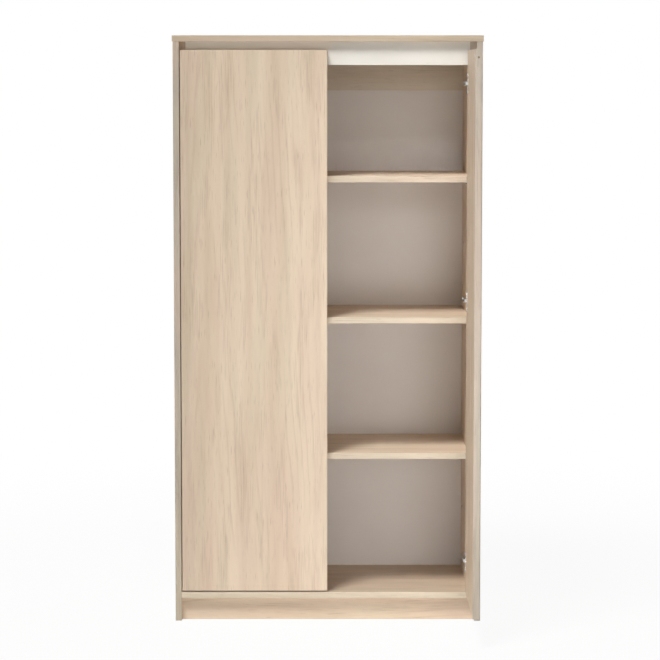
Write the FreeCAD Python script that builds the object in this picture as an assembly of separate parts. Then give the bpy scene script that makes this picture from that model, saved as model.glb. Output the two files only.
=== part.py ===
import FreeCAD, Part
import math
import os

# Two-door office cabinet, standing on its side panels and plinths.
# Lengths are millimetres. X runs across the front, Y goes back into the cabinet, Z is up.
# While the pieces are made, Y is 0 at the front faces of the closed doors; export_all() then moves
# every piece so that the origin is on the floor, under the middle of the whole part.

Vector = FreeCAD.Vector

# Outer size of the closed cabinet
cabinet_width = 800.0
cabinet_depth = 400.0
cabinet_height = 1523.0

# Clear heights of the four compartments, from the bottom up, in the proportion in which they
# divide the height that the boards and the plinth leave free
compartment_shares = (0.348, 0.339, 0.350, 0.346)

# Boards and their edging
board = 16.0
back_board = 3.0
edge_band = 1.0
edge_round = 0.8

# Carcass
top_overhang = 2.0
plinth_height = 60.0
plinth_setback = 20.0
shelf_play = 0.5
front_rail_height = 60.0
rear_rail_height = 128.0
back_inset = 9.0
groove_depth = 6.0
groove_play = 0.2

# Doors, seen closed
door_side_gap = 2.5
door_centre_gap = 3.0
door_bottom_gap = 3.5
finger_gap = 21.5
door_rear_gap = 2.0
right_door_open_angle = 90.0

# The line that a door turns about, from the door's outer edge and its front face
axis_from_edge = 7.0
axis_from_front = 2.5

# Hinge heights, from the door's ends and from the middle shelf
upper_hinge_drop = 85.5
middle_hinge_rise = 45.0
lower_hinge_rise = 79.5

# Hinge cup, pressed into the door
cup_radius = 17.5
cup_depth = 12.5
cup_wall = 0.8
cup_from_edge = 5.0
cup_play = 0.1
flange_thickness = 1.0
flange_width = 16.0
flange_screw_spacing = 45.0
flange_screw_inward = 9.5
flange_end_radius = 5.0
ear_radius = 2.6
ear_sheet = 1.4
ear_seat_gap = 0.3

# Hinge arm, a channel of pressed steel
arm_width = 12.0
arm_sheet = 1.2
arm_nose = 1.6
arm_foot_gap = 4.5
arm_rear_reach = 27.0
arm_web_setback = 1.5
arm_eye_radius = 2.6

# Hinge link, between the arm and the cup
link_pivot_inward = 18.9
link_pivot_behind = 9.9
link_end_radius = 9.4
link_thickness = 1.6
link_side_gap = 0.4
link_belly = 6.0
link_eye_radius = 2.0
link_pin_radius = 1.2
running_play = 0.05

# Mounting plate on the inner side
plate_from_front = 37.0
plate_width = 16.0
plate_wing_reach = 24.0
plate_sheet = 2.0
plate_side_gap = 0.8
plate_block_front = 14.0
plate_block_rear = 25.0
plate_seat_gap = 0.3
hole_pitch = 32.0

# Screws: head radius, head height, shank radius and length
wood_screw_head_radius = 3.6
wood_screw_head_height = 2.0
wood_screw_radius = 1.75
plate_screw_length = 13.0
cup_screw_length = 12.0
joining_screw_length = 27.0
machine_screw_head_radius = 3.2
machine_screw_head_height = 1.2
machine_screw_radius = 2.0
machine_screw_length = 6.4
recess_length = 3.2
recess_width = 0.8
recess_depth = 0.9
screw_play = 0.1

# Cam fittings
cam_radius = 7.5
cam_depth = 12.5
cam_reach = 24.0
cam_slot_width = 7.2
bolt_radius = 3.0
bolt_head_radius = 3.4
bolt_head_length = 2.4
bolt_neck_radius = 2.0
bolt_neck_length = 3.5
bolt_thread_radius = 2.5
bolt_thread_length = 10.5
fitting_from_front = 60.0
fitting_from_rear = 50.0

# Wooden dowels
dowel_radius = 4.0
dowel_length = 30.0
dowel_in_face = 12.0
dowel_chamfer = 1.0
dowel_end_gap = 0.5
dowel_offset = 32.0
plinth_dowel_x = 200.0

# Shelf pins
pin_radius = 2.5
pin_hole_depth = 9.0
pin_reach = 9.0
pin_block_width = 8.0
pin_block_height = 6.0
pin_holes_each_way = 1
pin_from_back = 37.0

# Joining screws, from the inner side into the outer side
joining_screw_from_front = 82.0
joining_screw_from_back = 68.0

# Soft buffers and the plug in the right door's free edge
buffer_radius = 4.0
buffer_thickness = 1.5
buffer_from_edge = 30.0
buffer_from_top = 16.0
plug_radius = 2.6
plug_length = 8.0
plug_head_thickness = 0.8
plug_from_top = 20.0

overrun = 5.0

# Planes that several pieces share
inner_half = cabinet_width / 2 - top_overhang - board
liner_half = inner_half - board
side_half = inner_half + board
floor_top = plinth_height + board
free_height = cabinet_height - plinth_height - (len(compartment_shares) + 1) * board
clear_heights = [free_height * share / sum(compartment_shares) for share in compartment_shares]
lower_shelf_top = floor_top + clear_heights[0] + board
middle_shelf_top = lower_shelf_top + clear_heights[1] + board
upper_shelf_top = middle_shelf_top + clear_heights[2] + board
top_underside = cabinet_height - board
inner_front = board + door_rear_gap
back_front = cabinet_depth - back_inset - back_board
back_rear = back_front + back_board
door_outer = inner_half - door_side_gap
door_inner = door_centre_gap / 2
door_low = floor_top + door_bottom_gap
door_high = top_underside - finger_gap
front_fitting_y = fitting_from_front
rear_fitting_y = cabinet_depth - fitting_from_rear
front_pin_y = inner_front + plate_from_front
rear_pin_y = back_front - pin_from_back
joining_screw_heights = (floor_top + clear_heights[0] / 2, middle_shelf_top + clear_heights[2] / 2)

# The turning line of the right door and the link's pivot, as points in X and Y
axis_x = door_outer - axis_from_edge
axis_y = axis_from_front
pivot_x = axis_x - link_pivot_inward
pivot_y = axis_y + link_pivot_behind
arm_web_x = pivot_x - arm_nose
channel_width = arm_width - 2 * arm_sheet
link_width = channel_width - 2 * link_side_gap
plate_block_width = channel_width - 2 * plate_side_gap
pivot_angle = math.atan2(link_pivot_behind, -link_pivot_inward)
half_right_angle = math.radians(45)
cup_x = door_outer - cup_from_edge - cup_radius
hinge_heights = {
    "upper": door_high - upper_hinge_drop,
    "middle": middle_shelf_top + middle_hinge_rise,
    "lower": door_low + lower_hinge_rise,
}

# The free edge of the open right door is the part's foremost line
front_reach = (door_outer - axis_from_edge - door_inner) - axis_y
origin_y = (cabinet_depth - front_reach) / 2


def box(low, high):
    """A block between two opposite corners."""
    size = [b - a for a, b in zip(low, high)]
    return Part.makeBox(size[0], size[1], size[2], Vector(*low))


def rod(start, direction, radius, length):
    """A round bar from a start point along a direction."""
    return Part.makeCylinder(radius, length, Vector(*start), Vector(*direction))


def along(point, direction, distance):
    """The point at a distance from another one along a direction."""
    return tuple(p + d * distance for p, d in zip(point, direction))


def fused(shapes):
    """One solid from shapes that touch or overlap."""
    return shapes[0].multiFuse(shapes[1:]).removeSplitter()


def mirrored(shape):
    """The same piece on the left side."""
    return shape.mirror(Vector(0, 0, 0), Vector(1, 0, 0))


def turned(shape, x, y, angle):
    """A copy turned about the upright line through x, y."""
    copy = shape.copy()
    copy.rotate(Vector(x, y, 0), Vector(0, 0, 1), angle)
    return copy


def strip(low, high, axis, side):
    """An edge band whose outer face, on one side along an axis, has its two long edges rounded."""
    solid = box(low, high)
    outer = (low if side < 0 else high)[axis]
    longest = max(range(3), key=lambda k: high[k] - low[k])
    rounded = []
    for edge in solid.Edges:
        ends = [tuple(v.Point) for v in edge.Vertexes]
        on_outer = all(abs(end[axis] - outer) < edge_round / 10 for end in ends)
        if on_outer and abs(ends[0][longest] - ends[1][longest]) > edge_band:
            rounded.append(edge)
    return solid.makeFillet(edge_round, rounded)


def screw(point, direction, head_radius, head_height, shank_radius, length):
    """A screw whose head starts at the seat point and stands up against the drive direction."""
    up = tuple(-d for d in direction)
    head = rod(point, up, head_radius, head_height)
    rim = [e for e in head.Edges if abs(e.Length - 2 * math.pi * head_radius) < head_height / 100]
    top = along(point, up, head_height)
    rim = [e for e in rim if (e.Vertexes[0].Point - Vector(*top)).Length < head_radius + head_height / 2]
    head = head.makeChamfer(head_height / 3, rim)
    tip = shank_radius * 2
    shank = rod(point, direction, shank_radius, length - tip)
    cone = Part.makeCone(shank_radius, shank_radius / 4, tip,
                         Vector(*along(point, direction, length - tip)), Vector(*direction))
    solid = fused([head, shank, cone])
    cross = Part.makeBox(recess_length, recess_width, recess_depth + overrun,
                         Vector(-recess_length / 2, -recess_width / 2, -recess_depth))
    other = cross.copy()
    other.rotate(Vector(0, 0, 0), Vector(0, 0, 1), 90)
    recess = cross.fuse(other)
    recess.Placement = FreeCAD.Placement(Vector(*top), FreeCAD.Rotation(Vector(0, 0, 1), Vector(*up)))
    return solid.cut(recess)


def screw_hole(point, direction, shank_radius, length):
    """The pilot hole that a screw's shank needs."""
    return rod(along(point, direction, -overrun), direction, shank_radius + screw_play,
               length + overrun + screw_play)


# Boards as corner pairs. Holes collect in cuts under the board's name.
front_core = edge_band
boards = {
    "top_panel": ((-cabinet_width / 2 + edge_band, front_core, top_underside),
                  (cabinet_width / 2 - edge_band, cabinet_depth, cabinet_height)),
    "right_side_panel": ((inner_half, front_core, 0), (side_half, cabinet_depth, top_underside)),
    "left_side_panel": ((-side_half, front_core, 0), (-inner_half, cabinet_depth, top_underside)),
    "right_inner_side": ((liner_half, inner_front + edge_band, floor_top),
                         (inner_half, cabinet_depth, top_underside)),
    "left_inner_side": ((-inner_half, inner_front + edge_band, floor_top),
                        (-liner_half, cabinet_depth, top_underside)),
    "bottom_panel": ((-inner_half, front_core, plinth_height), (inner_half, cabinet_depth, floor_top)),
    "front_plinth": ((-inner_half, plinth_setback, 0), (inner_half, plinth_setback + board, plinth_height)),
    "rear_plinth": ((-inner_half, cabinet_depth - plinth_setback - board, 0),
                    (inner_half, cabinet_depth - plinth_setback, plinth_height)),
    "front_top_rail": ((-liner_half, inner_front, top_underside - front_rail_height),
                       (liner_half, inner_front + board, top_underside)),
    "rear_top_rail": ((-liner_half, back_front - board, top_underside - rear_rail_height),
                      (liner_half, back_front, top_underside)),
    "middle_shelf": ((-liner_half, inner_front + edge_band, middle_shelf_top - board),
                     (liner_half, back_front, middle_shelf_top)),
}
for shelf_name, shelf_top in (("lower_shelf", lower_shelf_top), ("upper_shelf", upper_shelf_top)):
    boards[shelf_name] = ((-liner_half + shelf_play, inner_front + edge_band, shelf_top - board),
                          (liner_half - shelf_play, back_front, shelf_top))
boards["right_door"] = ((door_inner + edge_band, 0, door_low + edge_band),
                        (door_outer - edge_band, board, door_high - edge_band))
boards["left_door"] = ((-door_outer + edge_band, 0, door_low + edge_band),
                       (-door_inner - edge_band, board, door_high - edge_band))
cuts = {name: [] for name in boards}
nodes = {}


def keep(name, solids):
    """Collect the solids of one node."""
    nodes.setdefault(name, []).extend(solids)


def side_of(name_side):
    """Plus one on the right, minus one on the left."""
    return 1 if name_side == "right" else -1


# Edge bands
def front_band(board_name):
    """The band on a board's front edge."""
    low, high = boards[board_name]
    return strip((low[0], low[1] - edge_band, low[2]), (high[0], low[1], high[2]), 1, -1)


def make_edge_bands():
    low, high = boards["top_panel"]
    front = strip((-cabinet_width / 2, 0, low[2]), (cabinet_width / 2, edge_band, high[2]), 1, -1)
    right_end = strip((high[0], edge_band, low[2]), (cabinet_width / 2, high[1], high[2]), 0, 1)
    keep("top_edge_bands", [front, right_end, mirrored(right_end)])
    for side in ("right", "left"):
        keep("side_edge_bands", [front_band(side + "_side_panel"), front_band(side + "_inner_side")])
    keep("bottom_edge_band", [front_band("bottom_panel")])
    keep("shelf_edge_bands", [front_band(name + "_shelf") for name in ("lower", "middle", "upper")])


# The back board sits in grooves of the inner sides, the top and the bottom
def make_back():
    reach = groove_depth - groove_play
    low = (-liner_half - reach, back_front, floor_top - reach)
    high = (liner_half + reach, back_rear, top_underside + reach)
    keep("back_panel", [box(low, high)])
    groove = box((-liner_half - groove_depth, back_front, floor_top - groove_depth),
                 (liner_half + groove_depth, back_rear + groove_play, top_underside + groove_depth))
    for name in ("top_panel", "bottom_panel", "right_inner_side", "left_inner_side"):
        cuts[name].append(groove)


# Cam fittings: point is where the bolt crosses the joint, into points at the board that holds
# the bolt's thread, face points at the surface that the cam is let into
def cam_fitting(cam_board, thread_board, point, into, face):
    centre = along(point, into, -cam_reach)
    mouth = along(centre, face, board / 2)
    inward = tuple(-f for f in face)
    disc = rod(mouth, inward, cam_radius, cam_depth)
    seat = rod(along(mouth, face, overrun), inward, cam_radius + screw_play,
               cam_depth + screw_play + overrun)
    head_start = along(centre, into, -bolt_head_length / 2)
    head = rod(head_start, into, bolt_head_radius, bolt_head_length)
    neck = rod(head_start, into, bolt_neck_radius, bolt_head_length + bolt_neck_length)
    shank_start = along(head_start, into, bolt_head_length + bolt_neck_length)
    shank_length = cam_reach - bolt_neck_length - bolt_head_length / 2
    shank = rod(shank_start, into, bolt_radius, shank_length)
    thread = rod(point, into, bolt_thread_radius, bolt_thread_length)
    keep("cam_bolts", [fused([head, neck, shank, thread])])
    slot = rod(along(head_start, into, -screw_play), into, cam_slot_width / 2, cam_radius + cam_reach)
    driver = Part.makeBox(recess_length * 2, recess_width * 2, recess_depth + overrun,
                          Vector(-recess_length, -recess_width, -recess_depth))
    driver.Placement = FreeCAD.Placement(Vector(*mouth), FreeCAD.Rotation(Vector(0, 0, 1), Vector(*face)))
    keep("cam_discs", [disc.cut(slot).cut(driver)])
    channel = rod(centre, into, bolt_head_radius + screw_play, cam_reach + overrun / 5)
    cuts[cam_board].extend([seat, channel])
    cuts[thread_board].append(rod(along(point, into, -overrun), into, bolt_thread_radius + screw_play,
                                  bolt_thread_length + screw_play + overrun))


def make_cam_fittings():
    shelf_middle = middle_shelf_top - board / 2
    floor_middle = plinth_height + board / 2
    front_rail_y = inner_front + board / 2
    rear_rail_y = back_front - board / 2
    front_plinth_y = plinth_setback + board / 2
    rear_plinth_y = cabinet_depth - plinth_setback - board / 2
    for side in ("right", "left"):
        s = side_of(side)
        inner = side + "_inner_side"
        outer = side + "_side_panel"
        liner_middle = s * (liner_half + board / 2)
        for y in (front_fitting_y, rear_fitting_y):
            cam_fitting(inner, "top_panel", (liner_middle, y, top_underside), (0, 0, 1), (-s, 0, 0))
            cam_fitting("bottom_panel", outer, (s * inner_half, y, floor_middle), (s, 0, 0), (0, 0, -1))
            cam_fitting("middle_shelf", inner, (s * liner_half, y, shelf_middle), (s, 0, 0), (0, 0, -1))
        front_rail_end = (s * liner_half, front_rail_y, top_underside - front_rail_height / 2)
        rear_rail_end = (s * liner_half, rear_rail_y, top_underside - rear_rail_height / 2)
        front_plinth_end = (s * inner_half, front_plinth_y, plinth_height / 2)
        rear_plinth_end = (s * inner_half, rear_plinth_y, plinth_height / 2)
        cam_fitting("front_top_rail", inner, front_rail_end, (s, 0, 0), (0, 1, 0))
        cam_fitting("rear_top_rail", inner, rear_rail_end, (s, 0, 0), (0, 1, 0))
        cam_fitting("front_plinth", outer, front_plinth_end, (s, 0, 0), (0, 1, 0))
        cam_fitting("rear_plinth", outer, rear_plinth_end, (s, 0, 0), (0, -1, 0))


# Dowels: into points at the board whose face is drilled
def dowel(edge_board, face_board, point, into):
    start = along(point, into, dowel_in_face - dowel_length)
    solid = rod(start, into, dowel_radius, dowel_length)
    rims = [e for e in solid.Edges if isinstance(e.Curve, Part.Circle)]
    keep("dowels", [solid.makeChamfer(dowel_chamfer, rims)])
    in_edge = dowel_length - dowel_in_face + dowel_end_gap
    cuts[edge_board].append(rod(along(point, into, -in_edge), into, dowel_radius + screw_play,
                                in_edge + overrun))
    cuts[face_board].append(rod(along(point, into, -overrun), into, dowel_radius + screw_play,
                                dowel_in_face + dowel_end_gap + overrun))


def make_dowels():
    front_plinth_y = plinth_setback + board / 2
    rear_plinth_y = cabinet_depth - plinth_setback - board / 2
    for side in ("right", "left"):
        s = side_of(side)
        outer_middle = s * (inner_half + board / 2)
        liner_middle = s * (liner_half + board / 2)
        for y in (front_fitting_y + dowel_offset, rear_fitting_y - dowel_offset):
            dowel(side + "_side_panel", "top_panel", (outer_middle, y, top_underside), (0, 0, 1))
            dowel(side + "_inner_side", "bottom_panel", (liner_middle, y, floor_top), (0, 0, -1))
        dowel("front_plinth", "bottom_panel", (s * plinth_dowel_x, front_plinth_y, plinth_height), (0, 0, 1))
        dowel("rear_plinth", "bottom_panel", (s * plinth_dowel_x, rear_plinth_y, plinth_height), (0, 0, 1))


# Shelf pins and the rows of holes that they fit
def make_shelf_pins():
    for side in ("right", "left"):
        s = side_of(side)
        for shelf_top in (lower_shelf_top, upper_shelf_top):
            underside = shelf_top - board
            hole_z = underside - pin_block_height / 2
            for y in (front_pin_y, rear_pin_y):
                peg = rod((s * liner_half, y, hole_z), (s, 0, 0), pin_radius, pin_hole_depth - screw_play)
                block_x = sorted((s * liner_half, s * (liner_half - pin_reach)))
                block = box((block_x[0], y - pin_block_width / 2, underside - pin_block_height),
                            (block_x[1], y + pin_block_width / 2, underside))
                keep("shelf_pins", [fused([block, peg])])
                for step in range(-pin_holes_each_way, pin_holes_each_way + 1):
                    hole = rod((s * (liner_half - overrun), y, hole_z + step * hole_pitch), (s, 0, 0),
                               pin_radius + screw_play, pin_hole_depth + overrun)
                    cuts[side + "_inner_side"].append(hole)


# Screws that pull each inner side against its outer side
def make_joining_screws():
    for side in ("right", "left"):
        s = side_of(side)
        for z in joining_screw_heights:
            for y in (inner_front + joining_screw_from_front, back_front - joining_screw_from_back):
                point = (s * liner_half, y, z)
                keep("joining_screws", [screw(point, (s, 0, 0), wood_screw_head_radius,
                                              wood_screw_head_height, wood_screw_radius,
                                              joining_screw_length)])
                hole = screw_hole(point, (s, 0, 0), wood_screw_radius, joining_screw_length)
                cuts[side + "_inner_side"].append(hole)
                cuts[side + "_side_panel"].append(hole)


# Concealed hinge, made for the closed right door
def hinge_cup(z):
    """A deep round cup with a flat flange for its two screws."""
    body = rod((cup_x, board - cup_depth, z), (0, 1, 0), cup_radius, cup_depth + flange_thickness)
    hollow = rod((cup_x, board - cup_depth + cup_wall, z), (0, 1, 0), cup_radius - cup_wall,
                 cup_depth + overrun)
    screw_x = cup_x - flange_screw_inward
    half = flange_screw_spacing / 2
    plate = box((screw_x - flange_end_radius, board, z - half),
                (screw_x - flange_end_radius + flange_width, board + flange_thickness, z + half))
    ends = [rod((screw_x, board, z + k * half), (0, 1, 0), flange_end_radius, flange_thickness)
            for k in (-1, 1)]
    cup = fused([body, plate] + ends).cut(hollow)
    for k in (-1, 1):
        cup = cup.cut(rod((screw_x, board - overrun, z + k * half), (0, 1, 0),
                          wood_screw_radius + screw_play, 2 * overrun))
    return fused([cup] + [cup_ear(z, k) for k in (-1, 1)])


def cup_ear(z, k):
    """A cheek on the cup's floor, just above or below the link's end."""
    end_x, end_y = link_end()
    near = link_width / 2 + ear_seat_gap
    low = z + min(k * near, k * (near + ear_sheet))
    foot = box((end_x - ear_radius, board - cup_depth + cup_wall / 2, low),
               (end_x + ear_radius, end_y, low + ear_sheet))
    return fused([foot, rod((end_x, end_y, low), (0, 0, 1), ear_radius, ear_sheet)])


def cup_bore(z):
    """The blind hole for a cup in the door's inner face."""
    return rod((cup_x, board - cup_depth - cup_play, z), (0, 1, 0), cup_radius + cup_play,
               cup_depth + overrun)


def cup_screw_points(z):
    screw_x = cup_x - flange_screw_inward
    half = flange_screw_spacing / 2
    return [(screw_x, board + flange_thickness, z + k * half) for k in (-1, 1)]


def upright_prism(outline, z_low, z_high):
    """A flat outline in X and Y, raised from one height to another."""
    face = Part.Face(Part.makePolygon([Vector(x, y, z_low) for x, y in outline + outline[:1]]))
    return face.extrude(Vector(0, 0, z_high - z_low))


def hinge_arm(z):
    """A channel open towards the inner side, whose two cheeks carry the link's pin at their front."""
    foot_x = liner_half - arm_foot_gap
    rear_y = front_pin_y + arm_rear_reach
    low_y = pivot_y - arm_eye_radius
    outline = [(arm_web_x, low_y), (pivot_x, low_y), (foot_x, inner_front), (foot_x, rear_y),
               (arm_web_x, rear_y)]
    half = arm_width / 2
    arm = upright_prism(outline, z - half, z + half)
    inside = box((arm_web_x + arm_sheet, low_y - overrun, z - half + arm_sheet),
                 (foot_x + overrun, rear_y + overrun, z + half - arm_sheet))
    mouth = box((arm_web_x - overrun, low_y - overrun, z - half + arm_sheet),
                (foot_x + overrun, inner_front + arm_web_setback, z + half - arm_sheet))
    arm = arm.cut(inside).cut(mouth)
    arm = arm.cut(rod((pivot_x, pivot_y, z - arm_width), (0, 0, 1), link_pin_radius + running_play,
                      2 * arm_width))
    for y in arm_screw_places():
        arm = arm.cut(rod((arm_web_x - overrun, y, z), (1, 0, 0), machine_screw_radius + screw_play,
                          2 * overrun))
    return arm


def arm_screw_places():
    """The adjusting screw in front and the fixing screw at the rear, in Y."""
    front_place = front_pin_y - plate_block_front / 2
    rear_place = front_pin_y + plate_block_rear - 2 * machine_screw_head_radius
    return front_place, rear_place


def hinge_plate(z):
    """A cross-shaped plate with two screw wings and a raised block that carries the arm."""
    wings = box((liner_half - plate_sheet, front_pin_y - plate_width / 2, z - plate_wing_reach),
                (liner_half, front_pin_y + plate_width / 2, z + plate_wing_reach))
    block_x = arm_web_x + arm_sheet + plate_seat_gap
    half = plate_block_width / 2
    block = box((block_x, front_pin_y - plate_block_front, z - half),
                (liner_half, front_pin_y + plate_block_rear, z + half))
    plate = fused([wings, block])
    for k in (-1, 1):
        plate = plate.cut(rod((liner_half - overrun, front_pin_y, z + k * hole_pitch / 2), (1, 0, 0),
                              wood_screw_radius + screw_play, 2 * overrun))
    for y in arm_screw_places():
        plate = plate.cut(rod((block_x - overrun, y, z), (1, 0, 0), machine_screw_radius + screw_play,
                              overrun + machine_screw_length))
    return plate


def link_end():
    """The link's far end at rest in the closed cup, so that it meets the same point of the cup
    with the door closed and with the door at a right angle."""
    angle = pivot_angle - half_right_angle
    return axis_x + link_end_radius * math.cos(angle), axis_y + link_end_radius * math.sin(angle)


def link_turn_for_right_angle():
    """How far the link turns, in degrees, while the door turns through a right angle."""
    end_x, end_y = link_end()
    open_x = axis_x - (end_y - axis_y)
    open_y = axis_y + (end_x - axis_x)
    closed = math.atan2(end_y - pivot_y, end_x - pivot_x)
    opened = math.atan2(open_y - pivot_y, open_x - pivot_x)
    return math.degrees(opened - closed)


def hinge_link(z):
    """A bowed strap with an eye at the arm's pin and a rolled end in the cup."""
    start = Vector(pivot_x, pivot_y, 0)
    end = Vector(*link_end(), 0)
    run = end - start
    sideways = Vector(run.y, -run.x, 0)
    sideways.normalize()
    middle = start + run * 0.5 + sideways * link_belly
    half = link_thickness / 2
    centre_line = Part.Arc(start, middle, end)
    circle = centre_line.toShape().Curve
    centre, radius = circle.Center, circle.Radius
    low, high = z - link_width / 2, z + link_width / 2

    def shifted(point, amount):
        spoke = point - centre
        spoke.normalize()
        return centre + spoke * (radius + amount)

    outer = Part.Arc(shifted(start, half), shifted(middle, half), shifted(end, half)).toShape()
    inner = Part.Arc(shifted(end, -half), shifted(middle, -half), shifted(start, -half)).toShape()
    first = Part.LineSegment(shifted(end, half), shifted(end, -half)).toShape()
    second = Part.LineSegment(shifted(start, -half), shifted(start, half)).toShape()
    face = Part.Face(Part.Wire([outer, first, inner, second]))
    strap = face.extrude(Vector(0, 0, high - low))
    strap.translate(Vector(0, 0, low))
    eye = rod((pivot_x, pivot_y, low), (0, 0, 1), link_eye_radius, high - low)
    rolled = rod((end.x, end.y, low), (0, 0, 1), link_thickness * 0.6, high - low)
    link = fused([strap, eye, rolled])
    return link.cut(rod((pivot_x, pivot_y, low - overrun), (0, 0, 1), link_pin_radius + running_play,
                        high - low + 2 * overrun))


def link_pin(z):
    """The pin through the arm's cheeks and the link's eye."""
    return rod((pivot_x, pivot_y, z - arm_width / 2), (0, 0, 1), link_pin_radius, arm_width)


def place_on_side(shape, side, door_turn, x, y):
    """Mirror a closed right piece to the left, or open it on the right about the line at x, y."""
    if side == "left":
        return mirrored(shape)
    return turned(shape, x, y, door_turn)


link_ratio = link_turn_for_right_angle() / 90
right_link_turn = link_ratio * right_door_open_angle


def make_hinges():
    for side in ("right", "left"):
        for level, z in hinge_heights.items():
            name = side + "_" + level + "_hinge"
            cup = place_on_side(hinge_cup(z), side, right_door_open_angle, axis_x, axis_y)
            keep(name + "_cup", [cup])
            link = place_on_side(hinge_link(z), side, right_link_turn, pivot_x, pivot_y)
            keep(name + "_link", [link])
            keep(name + "_arm", [place_on_side(hinge_arm(z), side, 0, axis_x, axis_y)])
            keep(name + "_plate", [place_on_side(hinge_plate(z), side, 0, axis_x, axis_y)])
            keep("hinge_link_pins", [place_on_side(link_pin(z), side, 0, axis_x, axis_y)])
            for point in cup_screw_points(z):
                solid = screw(point, (0, -1, 0), wood_screw_head_radius, wood_screw_head_height,
                              wood_screw_radius, cup_screw_length)
                keep(side + "_cup_screws",
                     [place_on_side(solid, side, right_door_open_angle, axis_x, axis_y)])
            for k in (-1, 1):
                point = (liner_half - plate_sheet, front_pin_y, z + k * hole_pitch / 2)
                solid = screw(point, (1, 0, 0), wood_screw_head_radius, wood_screw_head_height,
                              wood_screw_radius, plate_screw_length)
                keep("hinge_plate_screws", [place_on_side(solid, side, 0, axis_x, axis_y)])
                hole = screw_hole(point, (1, 0, 0), wood_screw_radius, plate_screw_length)
                cuts[side + "_inner_side"].append(place_on_side(hole, side, 0, axis_x, axis_y))
            for y in arm_screw_places():
                solid = screw((arm_web_x, y, z), (1, 0, 0), machine_screw_head_radius,
                              machine_screw_head_height, machine_screw_radius, machine_screw_length)
                keep("hinge_arm_screws", [place_on_side(solid, side, 0, axis_x, axis_y)])


# Doors, with their holes made while closed
def door_holes():
    holes = []
    for z in hinge_heights.values():
        holes.append(cup_bore(z))
        for point in cup_screw_points(z):
            holes.append(screw_hole(point, (0, -1, 0), wood_screw_radius, cup_screw_length))
    return holes


def door_bands():
    """Bands on the four edges of the closed right door, the upright ones full height."""
    outer = strip((door_outer - edge_band, 0, door_low), (door_outer, board, door_high), 0, 1)
    inner = strip((door_inner, 0, door_low), (door_inner + edge_band, board, door_high), 0, -1)
    low, high = boards["right_door"]
    lower = strip((low[0], 0, door_low), (high[0], board, low[2]), 2, -1)
    upper = strip((low[0], 0, high[2]), (high[0], board, door_high), 2, 1)
    return [outer, inner, lower, upper]


def door_buffer():
    """A soft dome that meets the front rail."""
    base = rod((door_inner + buffer_from_edge, board, door_high - buffer_from_top), (0, 1, 0),
               buffer_radius, buffer_thickness)
    rim = [e for e in base.Edges if isinstance(e.Curve, Part.Circle) and e.Curve.Center.y > board]
    return base.makeFillet(buffer_thickness * 0.6, rim)


def edge_plug():
    """A small plug in the free edge, its head just proud of the band."""
    point = (door_inner, board / 2, door_high - plug_from_top)
    head = rod(point, (-1, 0, 0), plug_radius, plug_head_thickness)
    rim = [e for e in head.Edges if isinstance(e.Curve, Part.Circle) and e.Curve.Center.x < door_inner]
    head = head.makeChamfer(plug_head_thickness / 2, rim)
    stem = rod(point, (1, 0, 0), plug_radius - edge_band / 2, plug_length)
    return fused([head, stem])


def make_doors():
    low, high = boards["right_door"]
    closed = box(low, high)
    for hole in door_holes():
        closed = closed.cut(hole)
    bands = door_bands()
    for side in ("right", "left"):
        leaf = closed
        edging = bands
        if side == "right":
            plug_hole = rod((door_inner - overrun, board / 2, door_high - plug_from_top), (1, 0, 0),
                            plug_radius - edge_band / 2 + screw_play, overrun + plug_length + screw_play)
            leaf = leaf.cut(plug_hole)
            edging = [band.cut(plug_hole) for band in bands]
        keep(side + "_door", [place_on_side(leaf, side, right_door_open_angle, axis_x, axis_y)])
        keep(side + "_door_edge_bands",
             [place_on_side(band, side, right_door_open_angle, axis_x, axis_y) for band in edging])
        keep(side + "_door_buffer",
             [place_on_side(door_buffer(), side, right_door_open_angle, axis_x, axis_y)])
    keep("right_door_edge_plug",
         [place_on_side(edge_plug(), "right", right_door_open_angle, axis_x, axis_y)])


def make_boards():
    for name, (low, high) in boards.items():
        if name.endswith("_door"):
            continue
        solid = box(low, high)
        for hole in cuts[name]:
            solid = solid.cut(hole)
        keep(name, [solid])


def export_all():
    os.makedirs("parts", exist_ok=True)
    for name, solids in nodes.items():
        pieces = []
        for solid in solids:
            piece = solid.copy()
            piece.translate(Vector(0, -origin_y, 0))
            pieces.append(piece.Solids[0] if len(piece.Solids) == 1 else piece)
        shape = pieces[0] if len(pieces) == 1 else Part.makeCompound(pieces)
        shape.exportStep("parts/" + name + ".step")
        print(name, len(shape.Solids), "solids", round(shape.Volume / 1000, 2), "cm3", shape.isValid())


make_edge_bands()
make_back()
make_cam_fittings()
make_dowels()
make_shelf_pins()
make_joining_screws()
make_hinges()
make_doors()
make_boards()
export_all()
print("nodes", len(nodes), "origin y", round(origin_y, 3), "link ratio", round(link_ratio, 4))
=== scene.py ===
# %% [markdown]
# A two-door office cabinet in light oak decor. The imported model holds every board, fitting and hinge at
# its real size, and this lesson dresses it: first the camera and the studio, then one finish after
# another, and last the small round pieces whose shapes are worked out here.

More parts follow.
